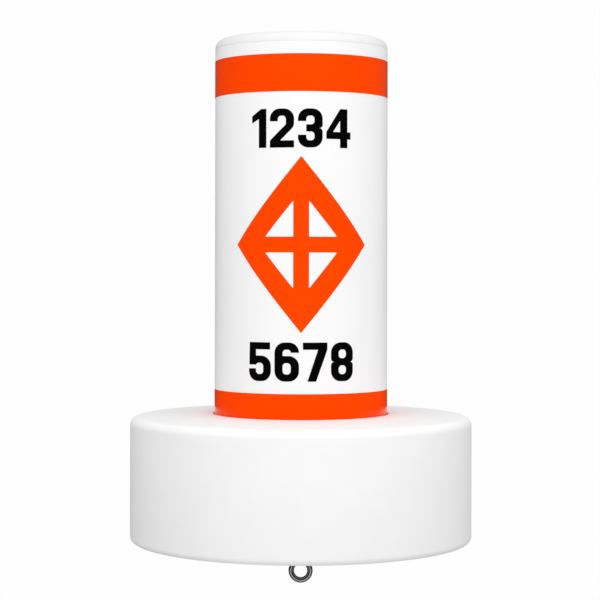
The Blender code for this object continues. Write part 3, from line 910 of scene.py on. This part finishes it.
def numberShapes(n):
    w, h, s, b = n["width"], n["height"], n["stem"], n["beam"]
    big, small, arm, c = n["bowl"], n["inner"], n["arm"], n["cutCorner"]
    waist, notch, pinch = h / 2, n["waistNotch"], n["waistGap"] / 2
    nip, one, four = n["waistRound"], n["oneWidth"], n["fourWidth"]
    over, under = waist + b / 2, waist - b / 2
    hip = over + b * 0.35
    barLow, barHigh = arm * 0.7, arm * 0.7 + b
    stemLeft, stemRight = four - s * 1.45, four - s * 0.45

    def hole(low, high):
        left, right = s, w - s
        return [(left, low, small), (right, low, small), (right, high, small), (left, high, small)]

    return {
        1: (one, [[
            (one - s, 0, c), (one, 0, c), (one, h, c), (one - s * 0.7, h, c),
            (0, h - b, c), (0, h - b * 2, c), (one - s, h - b * 1.4, 0),
        ]]),
        2: (w, [[
            (0, 0, c), (w, 0, c), (w, b, c), (s * 1.3, b, 0), (w, waist + b / 4, s), (w, h, big),
            (0, h, big), (0, h - arm, c), (s, h - arm, c), (s, h - b, small),
            (w - s, h - b, small), (w - s, over, small), (0, b, s / 3),
        ]]),
        3: (w, [[
            (0, h - arm, c), (s, h - arm, c), (s, h - b, small), (w - s, h - b, small),
            (w - s, over, small), (s, over, c), (s, under, c), (w - s, under, small),
            (w - s, b, small), (s, b, small), (s, arm, c), (0, arm, c), (0, 0, big), (w, 0, big),
            (w, waist - pinch, nip), (w - notch, waist, 0), (w, waist + pinch, nip),
            (w, h, big), (0, h, big),
        ]]),
        4: (four, [[
            (stemLeft, 0, c), (stemRight, 0, c), (stemRight, barLow, 0), (four, barLow, c),
            (four, barHigh, c), (stemRight, barHigh, 0), (stemRight, h, c), (stemLeft, h, c),
            (0, barHigh, c), (0, barLow, c), (stemLeft, barLow, 0),
        ], [(stemLeft, barHigh, c), (stemLeft, h - b * 1.6, c), (s * 0.85, barHigh, c)]]),
        5: (w, [[
            (s * 0.1, h, c), (s * 0.05, h * 0.42, c), (s, h * 0.42, 0),
            (s * 1.2, over - b * 0.65, small), (w - s, over - b * 0.65, small),
            (w - s, b, small), (s, b, small), (s, arm, c), (0, arm, c), (0, 0, big), (w, 0, big),
            (w, hip, big), (s, hip, 0), (s, h - b, 0), (w - s * 0.1, h - b, c), (w - s * 0.1, h, c),
        ]]),
        6: (w, [[
            (w, h - arm * 0.8, c), (w, h, big), (0, h, big), (0, 0, big), (w, 0, big),
            (w, hip, big), (s, hip, 0), (s, h - b, small), (w - s, h - b, small),
            (w - s, h - arm * 0.8, c),
        ], hole(b, over - b * 0.65)]),
        7: (w, [[
            (0, h, c), (0, h - b, c), (w - s * 1.15, h - b, 0), (s * 0.55, 0, c), (s * 1.6, 0, c),
            (w, h - b, 0), (w, h, c),
        ]]),
        8: (w, [[
            (0, 0, big), (w, 0, big), (w, waist - pinch, nip), (w - notch, waist, 0),
            (w, waist + pinch, nip), (w, h, big), (0, h, big), (0, waist + pinch, nip),
            (notch, waist, 0), (0, waist - pinch, nip),
        ], hole(b, under), hole(over, h - b)]),
    }


def makeNumbers(s):
    shapes = numberShapes(s)
    for row in ((1, 2, 3, 4), (5, 6, 7, 8)):
        left = -(sum(shapes[n][0] for n in row) + s["space"] * (len(row) - 1)) / 2
        for n in row:
            width, loops = shapes[n]
            moved = [[(left + x, z, r) for x, z, r in loop] for loop in loops]
            node = "number_" + str(n)
            film = layFilm("blockNumber" + str(n), moved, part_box(node)[0].z, "black", 8)
            place(film, node, "black_film", "black")
            left += width + s["space"]


makeNumbers(numberSizes)
print("numbers laid")


# The eyebolt: a smooth forged ring and neck, and a threaded shank.

threadShape = {
    "rowsPerTurn": 4,        # two on the root, two on the crest
    "rootFlat": 0.25,        # share of the pitch, as the next two are
    "flank": 0.3125,
    "crestFlat": 0.125,
}


def makeThreadTree(thread):
    tree, w, source = newTree("screwThread", {
        "Sides": 36, "Rows": 300, "Pitch": 0.00125, "Root Radius": 0.0032,
        "Crest Radius": 0.004, "Foot": 0.0, "Top": 0.1, "End Radius": 0.003,
    })
    size = source.outputs
    columns = w.math("ADD", size["Sides"], 1.0)
    grid = w.add("GeometryNodeMeshGrid", {
        "Size X": size["Sides"], "Size Y": w.math("SUBTRACT", size["Rows"], 1.0),
        "Vertices X": columns, "Vertices Y": size["Rows"],
    })
    where = w.add("ShaderNodeSeparateXYZ", {0: w.add("GeometryNodeInputPosition").outputs[0]})
    share = w.math("ADD", w.math("DIVIDE", where.outputs["X"], size["Sides"]), 0.5)
    halfRows = w.math("DIVIDE", w.math("SUBTRACT", size["Rows"], 1.0), 2.0)
    row = w.math("ROUND", w.math("ADD", where.outputs["Y"], halfRows))
    turns = w.math("FLOOR", w.math("DIVIDE", w.math("ADD", row, 0.25), thread["rowsPerTurn"]))
    phase = w.math("SUBTRACT", row, w.math("MULTIPLY", turns, thread["rowsPerTurn"]))
    onCrest = w.math("GREATER_THAN", phase, 1.5)
    rise = w.math("MULTIPLY", w.math("GREATER_THAN", phase, 0.5), thread["rootFlat"])
    rise = w.math("ADD", rise, w.math("MULTIPLY", onCrest, thread["flank"]))
    crestEnd = w.math("MULTIPLY", w.math("GREATER_THAN", phase, 2.5), thread["crestFlat"])
    rise = w.math("ADD", rise, crestEnd)
    climbed = w.math("ADD", w.math("ADD", turns, rise), w.math("SUBTRACT", share, 1.0))
    free = w.math("ADD", w.math("MULTIPLY", climbed, size["Pitch"]), size["Foot"])
    height = w.math("MINIMUM", w.math("MAXIMUM", free, size["Foot"]), size["Top"])
    depth = w.math("SUBTRACT", size["Crest Radius"], size["Root Radius"])
    radius = w.math("ADD", size["Root Radius"], w.math("MULTIPLY", onCrest, depth))
    toEnd = w.math("MINIMUM", w.math("SUBTRACT", height, size["Foot"]),
                   w.math("SUBTRACT", size["Top"], height))
    radius = w.math("MINIMUM", radius, w.math("ADD", size["End Radius"], toEnd))
    angle = w.math("MULTIPLY", share, math.tau)
    wound = w.add("ShaderNodeCombineXYZ", {
        "X": w.math("MULTIPLY", radius, w.math("COSINE", angle)),
        "Y": w.math("MULTIPLY", radius, w.math("SINE", angle)), "Z": height,
    })
    laid = w.add("GeometryNodeSetPosition", {
        "Geometry": grid.outputs["Mesh"], "Position": wound.outputs[0],
    })
    merged = w.add("GeometryNodeMergeByDistance", {
        "Geometry": laid.outputs[0], "Distance": mergeDistance,
    })
    closeTree(w, source, merged.outputs[0])
    return tree


eyeSizes = {
    "bar": 0.00747,          # diameter of the ring's bar
    "hole": 0.0174,
    "ringSides": 96,
    "ringSteps": 7,
    "neckSides": 48,
    "neckRadius": 0.004,
    "neckTop": 0.0235,
    "neckTopRound": 0.0005,
    "neckFoot": 0.0135,
    "neckFlare": 0.0047,     # radius at the foot
    "flareRound": 0.001,
    "flareHeight": 0.006,
    "neckBend": 0.004,
    "forgeGrain": 0.0004,    # size of the remeshed faces
    "forgeSmooth": 12,
    "forgeFactor": 0.5,
    "threadOverlap": 0.0015,
    "threadPoint": 0.0002,   # how much thinner the thread is at its ends
    "pitch": 0.00125,
    "rootRadius": 0.00323,
    "threadSides": 36,
}


def makeEye(s):
    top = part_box("mooring_eye")[1].z
    middle, bar = (s["hole"] + s["bar"]) / 2, s["bar"] / 2
    ring = turn("forgedEye", [[
        (middle - bar, bar, bar), (middle + bar, bar, bar),
        (middle + bar, -bar, bar), (middle - bar, -bar, bar),
    ]], "steel", sides=s["ringSides"], cornerSteps=s["ringSteps"])
    ring.data.transform(Matrix.Rotation(math.radians(90), 4, "X"))
    neck = turn("eyeNeck", [[
        (0.0, s["neckTop"], 0.0), (s["neckRadius"], s["neckTop"], s["neckTopRound"]),
        (s["neckRadius"], s["neckFoot"] + s["flareHeight"], s["neckBend"]),
        (s["neckFlare"], s["neckFoot"], s["flareRound"]), (0.0, s["neckFoot"], 0.0),
    ]], "steel", sides=s["neckSides"])
    eye = cutWith(ring, neck, "UNION")
    forge = eye.modifiers.new("forge", "REMESH")
    forge.mode, forge.voxel_size = "VOXEL", s["forgeGrain"]
    soften = eye.modifiers.new("soften", "SMOOTH")
    soften.factor, soften.iterations = s["forgeFactor"], s["forgeSmooth"]
    plain(eye)
    foot = s["neckTop"] - s["threadOverlap"]
    rows = threadShape["rowsPerTurn"] * (math.ceil((top - foot) / s["pitch"]) + 2)
    thread = tidy(grow("thread", bpy.data.meshes.new("thread"), makeThreadTree(threadShape), {
        "Sides": s["threadSides"], "Rows": rows, "Pitch": s["pitch"],
        "Root Radius": s["rootRadius"], "Crest Radius": s["neckRadius"],
        "Foot": foot, "Top": top, "End Radius": s["rootRadius"] - s["threadPoint"],
    }, finishes["steel"]))
    eye = tidy(cutWith(eye, thread, "UNION"))
    place(eye, "mooring_eye", "polished_steel", "eye")


nutSizes = {
    "acrossFlats": 0.013,
    "bore": 0.00405,
    "boreEdge": 0.0005,
    "faceShare": 0.95,       # of the flats' width, left flat on each end
    "chamferSlope": 30.0,    # degrees
    "chamferReach": 1.02,    # of the corners' radius
    "sides": 96,
}


def makeLowerNut(s):
    low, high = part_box("lower_nut")
    corner, flat = s["acrossFlats"] / math.sqrt(3), s["acrossFlats"] / 2 * s["faceShare"]
    nut = turn("lockingNut", [[
        (0.0, high.z, 0.0), (corner, high.z, 0.0), (corner, low.z, 0.0), (0.0, low.z, 0.0),
    ]], "steel", sides=6, cornerSteps=1)
    wide = corner * s["chamferReach"]
    fall = (wide - flat) * math.tan(math.radians(s["chamferSlope"]))
    bore, edge = s["bore"], s["boreEdge"]
    body = turn("nutBody", [[
        (bore + edge, high.z, 0.0), (flat, high.z, 0.0), (wide, high.z - fall, 0.0),
        (wide, low.z + fall, 0.0), (flat, low.z, 0.0), (bore + edge, low.z, 0.0),
        (bore, low.z + edge, 0.0), (bore, high.z - edge, 0.0),
    ]], "steel", sides=s["sides"], cornerSteps=1)
    place(tidy(cutWith(nut, body, "INTERSECT"), 20.0), "lower_nut", "polished_steel", "steel")


washerSizes = {
    "outer": 0.018,
    "bore": 0.0042,
    "edgeRound": 0.0005,
    "sides": 128,
    "cornerSteps": 4,
}


def makeLowerWasher(s):
    low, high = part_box("lower_washer")
    r = s["edgeRound"]
    washer = turn("lowerWasher", [[
        (s["bore"], high.z, r / 2), (s["outer"], high.z, r),
        (s["outer"], low.z, r), (s["bore"], low.z, r / 2),
    ]], "steel", sides=s["sides"], cornerSteps=s["cornerSteps"])
    place(washer, "lower_washer", "polished_steel", "steel")


makeEye(eyeSizes)
makeLowerNut(nutSizes)
makeLowerWasher(washerSizes)
print("mooring eye, nut and washer made")


# What is sealed inside keeps its CAD shape.

hiddenFinishes = {
    "foot_disc": "column",
    "collar_foam": "foam",
    "column_foam": "foam",
    "ballast_disc": "concrete",
    "ballast_plate": "zinc",
    "upper_washer": "zinc",
    "lock_washer": "zinc",
    "upper_nut": "zinc",
}

for node, finish in hiddenFinishes.items():
    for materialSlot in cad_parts[node].material_slots:
        materialSlot.material = finishes[finish]
print("inner pieces finished:", len(hiddenFinishes))


# Plain soft light, brightest from the front and above.

lightPlan = {
    "backdrop": 0.991,
    "base": 0.385,
    "softBoxes": [           # strength, degrees to the right of the camera, degrees up
        (1.480, -10, 62),
        (0.175, -5, 10),
        (0.470, 80, 12),
        (0.400, 180, 15),
    ],
    "softBoxEdge": 2.0,      # higher is a smaller box
    "darkSurround": 0.10,    # share of the light level with the buoy that a gloss shows
    "lightInGloss": 0.40,    # and of the light from above
    "darkUpTo": 0.35,        # rise at which the share starts to grow, and is whole
    "lightFrom": 0.85,
    "nearFloor": 0.5,        # a gloss shows the floor whole up to here, and dimmed from here on
    "farFloor": 1.3,
    "floorFront": 1.16,      # glow of the floor before the buoy, and behind it
    "floorBack": 0.286,
    "frontEnd": -1.0,
    "backEnd": 0.6,
    "sideShade": 0.18,       # share of its glow that the floor close beside the buoy lacks
    "sideNear": 0.6,         # and the distances over which that share fades to none
    "sideFar": 1.8,
    "floorGap": 0.0003,      # between the eye and the floor
    "floorRadius": 8.0,
}


# Factor for the strength of a light: one for all rays but those of a gloss, which get a share.

def inGloss(wiring, share):
    gloss = wiring.add("ShaderNodeLightPath").outputs["Is Glossy Ray"]
    lost = wiring.math("MULTIPLY", gloss, wiring.math("SUBTRACT", 1.0, share))
    return wiring.math("SUBTRACT", 1.0, lost)


def makeLight(p):
    world = bpy.data.worlds.new("studio")
    bpy.context.scene.world = world
    world.use_nodes = True
    w = Wiring(world.node_tree)
    world.node_tree.nodes.clear()
    towards = w.add("ShaderNodeTexCoord").outputs["Generated"]
    total = p["base"]
    for strength, across, up in p["softBoxes"]:
        side, rise = math.radians(across), math.radians(up)
        centre = (math.cos(rise) * math.sin(side), -math.cos(rise) * math.cos(side), math.sin(rise))
        facing = w.add("ShaderNodeVectorMath", {0: towards, 1: centre}, operation="DOT_PRODUCT")
        near = w.math("POWER", w.math("MAXIMUM", facing.outputs["Value"], 0.0), p["softBoxEdge"])
        total = w.math("ADD", w.math("MULTIPLY", near, strength), total)
    rise = w.add("ShaderNodeSeparateXYZ", {0: towards}).outputs["Z"]
    above = w.add("ShaderNodeMapRange", {
        "Value": rise, "From Min": p["darkUpTo"], "From Max": p["lightFrom"],
        "To Min": p["darkSurround"], "To Max": p["lightInGloss"],
    }, interpolation_type="SMOOTHSTEP").outputs[0]
    soft = w.add("ShaderNodeBackground", {"Strength": w.math("MULTIPLY", total, inGloss(w, above))})
    seen = w.add("ShaderNodeBackground", {"Strength": p["backdrop"]})
    for node in (soft, seen):
        node.inputs["Color"].default_value = (1.0, 1.0, 1.0, 1.0)
    split = w.add("ShaderNodeMixShader", {
        0: w.add("ShaderNodeLightPath").outputs["Is Camera Ray"],
        1: soft.outputs[0], 2: seen.outputs[0],
    })
    w.add("ShaderNodeOutputWorld", {"Surface": split.outputs[0]})


# The floor is as pale as the backdrop to the camera; to all other rays it glows as a lamp, brighter
# before the buoy, with painted shade close beside it. It can be looked through from below.

def makeFloor(p):
    material = bpy.data.materials.new("paleFloor")
    material.use_nodes = True
    material.node_tree.nodes.clear()
    w = Wiring(material.node_tree)
    path = w.add("ShaderNodeLightPath").outputs["Is Camera Ray"]
    place = w.add("ShaderNodeTexCoord").outputs["Object"]
    where = w.add("ShaderNodeSeparateXYZ", {0: place})
    outward = w.add("ShaderNodeVectorMath", {0: place}, operation="LENGTH").outputs["Value"]
    heading = w.add("ShaderNodeVectorMath", {0: place}, operation="NORMALIZE")
    sideways = w.add("ShaderNodeSeparateXYZ", {0: heading.outputs[0]}).outputs["X"]
    cast = w.add("ShaderNodeMapRange", {
        "Value": where.outputs["Y"], "From Min": p["frontEnd"], "From Max": p["backEnd"],
        "To Min": p["floorFront"], "To Max": p["floorBack"],
    })
    near = w.add("ShaderNodeMapRange", {
        "Value": outward, "From Min": p["nearFloor"], "From Max": p["farFloor"],
        "To Min": 1.0, "To Max": p["darkSurround"],
    })
    # painted shade: the floor's glow is dimmed close beside the buoy, as its shadow would dim it
    shade = w.add("ShaderNodeMapRange", {
        "Value": outward, "From Min": p["sideNear"], "From Max": p["sideFar"],
        "To Min": p["sideShade"], "To Max": 0.0,
    })
    beside = w.math("MULTIPLY", w.math("MULTIPLY", sideways, sideways), shade.outputs[0])
    lit = w.math("MULTIPLY", cast.outputs[0], w.math("SUBTRACT", 1.0, beside))
    dimmed = w.math("MULTIPLY", lit, inGloss(w, near.outputs[0]))
    unseen = w.math("MULTIPLY", w.math("SUBTRACT", 1.0, path), dimmed)
    glow = w.math("ADD", w.math("MULTIPLY", path, p["backdrop"]), unseen)
    pale = w.add("ShaderNodeEmission", {"Strength": glow})
    clear = w.add("ShaderNodeBsdfTransparent")
    sides = w.add("ShaderNodeMixShader", {
        0: w.add("ShaderNodeNewGeometry").outputs["Backfacing"],
        1: pale.outputs[0], 2: clear.outputs[0],
    })
    w.add("ShaderNodeOutputMaterial", {"Surface": sides.outputs[0]})
    mesh = bpy.data.meshes.new("paleFloor")
    shape = bmesh.new()
    bmesh.ops.create_circle(shape, cap_ends=True, segments=64, radius=p["floorRadius"])
    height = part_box("mooring_eye")[0].z - p["floorGap"]
    bmesh.ops.translate(shape, vec=(0.0, 0.0, height), verts=shape.verts)
    shape.to_mesh(mesh)
    shape.free()
    mesh.materials.append(material)
    floor = bpy.data.objects.new("paleFloor", mesh)
    bpy.context.scene.collection.objects.link(floor)


bpy.context.scene.view_settings.view_transform = "Standard"
makeLight(lightPlan)
makeFloor(lightPlan)
print("light and floor made")
